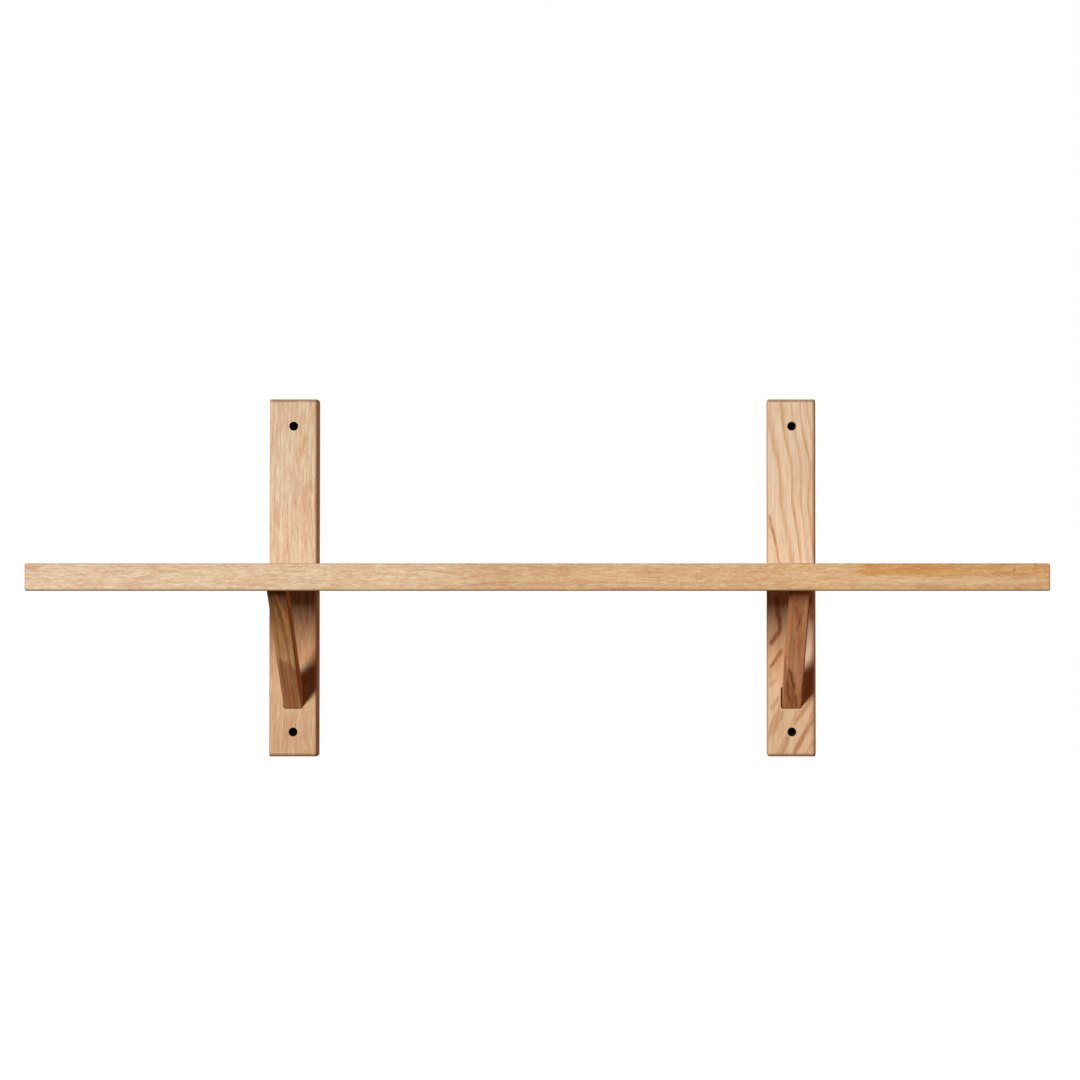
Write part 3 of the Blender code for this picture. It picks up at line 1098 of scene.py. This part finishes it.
# A mark is (start, end, half width, colour, strength). Places are (x, z) in the piece's own
# frame in mm, as are the places along z of a figure's points.
SHELF_MARKS = [
    ((-8.6, -404), (-8.2, -384), 2.0, TAN, 0.60),
    ((-7.0, -403), (-6.6, -391), 1.3, RUSSET, 0.35),
    ((-1.8, -401), (-2.2, -392), 0.9, RUSSET, 0.40),
    ((1.0, -401), (1.4, -394), 1.1, TAN, 0.60),
    ((3.0, 240), (3.2, 330), 2.8, CREAM, 0.38),
    ((3.4, 310), (2.6, 398), 2.6, CREAM, 0.36),
    ((8.0, 292), (8.4, 322), 1.4, RUST, 0.30),
    ((-8.2, -328), (-8.2, -314), 1.2, TAN, 0.50),
    ((5.0, -242), (7.0, -200), 2.0, TAN, 0.40),
    ((-6.5, -98), (-2.2, -60), 0.9, RUST, 0.35),
    ((-9.8, -57), (-9.6, -46), 1.0, RUSSET, 0.45),
    ((6.8, -56), (3.2, -13), 0.8, RUST, 0.35),
    ((4.6, -16), (5.2, 14), 1.0, RUST, 0.28),
    ((4.8, 38), (4.6, 76), 1.0, RUST, 0.25),
    ((8.2, 44), (8.6, 98), 1.7, RUST, 0.32),
    ((-6.8, 372), (-4.6, 373), 1.4, RUST, 0.60),
    ((-10.0, 388), (-8.6, 389), 1.3, RUST, 0.50),
    ((-5.6, 352), (-4.6, 353), 1.1, RUST, 0.25),
]
RIGHT_PLATE_FIGURE = {
    "points": [
        (-150, 53), (-102, 34), (-75, 21), (-56, 5), (-42, -4), (-12, -1), (12, 2), (32, 5), (47, 8),
        (63, 11), (79, 12), (94, 13.4), (110, 17), (125, 20), (150, 22),
    ],
    "closing": [
        (-150, -0.45), (-60, -0.40), (-12, 0.42), (27, 0.32), (70, 0.10), (100, 0.0), (150, 0.0),
    ],
    "span": (-150, 150),
    "reach": 60,
}
RIGHT_PLATE_MARKS = [
    ((-13.2, -14), (-11.0, -34), 3.0, UMBER, 0.65),
    ((-10.6, -30), (-9.6, -46), 3.0, UMBER, 0.80),
    ((-9.6, -43), (-18.6, -57), 3.0, HOOK, 0.85),
    ((-7.0, -58), (-19.0, -76), 2.2, RUSSET, 0.80),
    ((-12.0, -83), (-19.0, -91), 3.0, RUSSET, 0.30),
    ((-9.0, -97), (-18.0, -110), 2.8, RUSSET, 0.35),
    ((18.5, -97), (1.0, -124), 2.3, RUSSET, 0.45),
    ((19.0, -115), (0.0, -149), 2.6, RUSSET, 0.55),
    ((-2.0, -130), (-9.0, -149), 2.3, RUSSET, 0.40),
    ((-7.0, -110), (-17.0, -132), 3.0, RUSSET, 0.25),
    # Painted light: a pale patch on the lit sliver between the strut and the plate's right edge.
    ((16.8, -34), (11.0, -76), 6.0, CREAM, 0.95),
    ((-18.9, 54), (-16.2, 38), 2.0, FLAME, 0.60),
    ((-16.8, 43), (-12.4, 25), 2.0, FLAME, 0.80),
    ((-13.2, 29), (-9.4, 8), 1.7, TAN, 0.90),
]
LEFT_PLATE_FIGURE = {
    "points": [(-150, 3), (-60, -1), (40, 1.5), (150, -1.5)],
    "span": (-150, 150),
    "reach": 10,
}
LEFT_PLATE_MARKS = [
    ((8.5, 140), (4.5, 126), 2.0, TAN, 0.45),
    ((10.5, 120), (5.0, 98), 2.0, TAN, 0.55),
    ((10.0, 104), (6.0, 88), 1.6, CREAM, 0.60),
    ((11.0, 82), (9.0, 48), 1.6, TAN, 0.60),
    ((9.0, 52), (10.0, 20), 1.4, TAN, 0.45),
    ((-14.0, 66), (-13.0, 40), 1.8, TAN, 0.40),
    ((-2.0, -112), (-3.0, -146), 2.2, TAN, 0.30),
    ((8.0, -100), (10.5, -140), 2.0, TAN, 0.40),
    ((-15.0, -60), (-13.0, -110), 2.0, TAN, 0.30),
    ((7.4, -28), (7.8, -54), 1.2, UMBER, 0.30),
    ((11.8, -10), (11.2, -46), 1.5, UMBER, 0.40),
    ((17.2, -8), (15.4, -36), 1.6, UMBER, 0.35),
    ((16.2, -36), (16.6, -72), 2.6, GOLD, 0.35),
]
LEFT_STRUT_MARKS = [
    ((-2.5, 140), (2.6, 116), 2.1, GOLD, 0.70),
    ((2.2, 119), (4.6, 100), 2.0, GOLD, 0.70),
    ((4.6, 104), (3.4, 84), 1.6, GOLD, 0.55),
    ((7.0, 140), (7.2, 92), 1.8, GOLD, 0.55),
    ((-1.0, 130), (0.6, 104), 1.8, UMBER, 0.55),
    ((6.0, 138), (6.6, 112), 1.2, UMBER, 0.45),
    ((-6.5, 128), (-4.5, 96), 2.0, UMBER, 0.30),
    ((1.5, 108), (1.0, 88), 1.6, UMBER, 0.40),
]
RIGHT_STRUT_MARKS = [
    ((-4.5, 50), (1.0, 22), 2.1, UMBER, 0.80),
    ((-6.0, 36), (-2.0, 4), 2.0, UMBER, 0.50),
    ((-3.5, 122), (2.5, 98), 2.6, RUST, 0.55),
    ((3.0, 118), (-0.5, 92), 1.8, UMBER, 0.40),
    ((-2.0, 90), (-3.0, 56), 3.0, RUST, 0.30),
    # Painted light: a pale stripe along the strut's left edge, which faces the key light.
    ((-7.0, 138), (-7.0, 60), 1.4, HONEY, 0.40),
    ((2.0, 18), (3.5, 0), 2.0, UMBER, 0.55),
]
LEFT_STRUT_FIGURE = {
    "points": [(0, 0), (90, 0), (105, 1), (125, 6), (145, 14)],
    "span": (0, 145),
    "reach": 20,
}
RIGHT_STRUT_FIGURE = {
    "points": [(0, 6), (30, 1), (60, 0), (145, 2)],
    "span": (0, 145),
    "reach": 10,
}
STRUT_SEEN = 140.0
# Along the left strut the colour darkens towards its head under the shelf: in part the wood's figure,
# in part painted shade from the shelf above.
LEFT_STRUT_TONES_AND_SHADE = [
    (0.00, linear(206, 150, 98)),
    (0.40, linear(218, 162, 106)),
    (0.60, linear(206, 148, 90)),
    (0.80, linear(164, 108, 62)),
    (1.00, linear(142, 92, 54)),
]
RIGHT_STRUT_SHADES = [
    (0.00, linear(220, 148, 102)),
    (0.45, linear(232, 158, 112)),
    (0.70, linear(226, 151, 102)),
    (1.00, linear(219, 146, 97)),
]
LEFT_NOSE = linear(176, 108, 66)
RIGHT_NOSE = linear(190, 112, 72)


def hole_places(side):
    """The wall holes' places in the plate's own frame, in mm."""
    middle = plate_middle(side)
    return [((at.x - middle.x) / MM, (at.z - middle.z) / MM) for at in wall_holes(side).values()]


shelf_oak = oak(
    "shelf_oak", LENGTHWISE, shelf_tone, linear(190, 134, 84), pith=(14, 90), ring=3.2, seed=1.0,
    staves=shelf_staves, line_strength=0.25, warp=0.8, contrast=0.85, pore_strength=0.8,
    streaks=(1.25, 0.20), marks=SHELF_MARKS, end_strength=0.3,
)
# Each plate's second tone, its middle, is painted shade round the strut's upper half.
plate_oak = {
    "left": oak(
        "plate_oak_left", UPRIGHT,
        plate_tone_and_painted_shade(linear(221, 194, 165), linear(211, 160, 119), LEFT_LOWER),
        linear(190, 138, 98), pith=(-150, 60), ring=3.4, seed=2.0, figure=LEFT_PLATE_FIGURE,
        line_strength=0.35, warp=2.0, pore_strength=0.6, streaks=(1.0, 0.085), contrast=0.85,
        marks=LEFT_PLATE_MARKS, bores=hole_places("left"),
    ),
    "right": oak(
        "plate_oak_right", UPRIGHT,
        plate_tone_and_painted_shade(linear(233, 207, 178), linear(225, 177, 134), RIGHT_LOWER),
        linear(204, 148, 94), pith=(-15.4, 50), ring=3.87, seed=3.0, figure=RIGHT_PLATE_FIGURE,
        line_strength=0.80, line_width=0.56, line_lows=(0.65, 0.50), phase=0.20, uneven_years=0.0,
        warp=0.6, pore_strength=0.4, contrast=0.55, marks=RIGHT_PLATE_MARKS,
        bores=hole_places("right"),
    ),
}
strut_oak = {
    "left": oak(
        "strut_oak_left", LEANING, strut_tone(LEFT_STRUT_TONES_AND_SHADE, LEFT_NOSE, 55, 0.75),
        linear(140, 88, 50), pith=(-60, 10), ring=6.5, seed=4.0, figure=LEFT_STRUT_FIGURE,
        line_strength=0.35, warp=1.2, pore_strength=0.6, streaks=(0.8, 0.04), marks=LEFT_STRUT_MARKS,
        # The left strut's +X side gets a painted shade colour.
        shaded_flank=linear(217, 167, 110),
    ),
    "right": oak(
        "strut_oak_right", LEANING, strut_tone(RIGHT_STRUT_SHADES, RIGHT_NOSE, 26.6, 3.9),
        linear(150, 90, 58), pith=(-60, 30), ring=6.0, seed=5.0, figure=RIGHT_STRUT_FIGURE,
        line_strength=0.35, warp=1.2, pore_strength=0.6, streaks=(0.8, 0.04), marks=RIGHT_STRUT_MARKS,
    ),
}
steel = zinc("zinc_plate")
beech = plain_wood("beech", (0.62, 0.41, 0.25, 1.0), seed=8.0)

make_shelf(shelf_oak)
for side in SIDES:
    make_plate(side, plate_oak[side])
    make_strut(side, strut_oak[side])
    make_hardware(side, steel, beech)

make_camera()
make_floor()
make_shade_discs_in_holes()
make_world()
make_lights()
bpy.context.scene.view_settings.view_transform = "Standard"
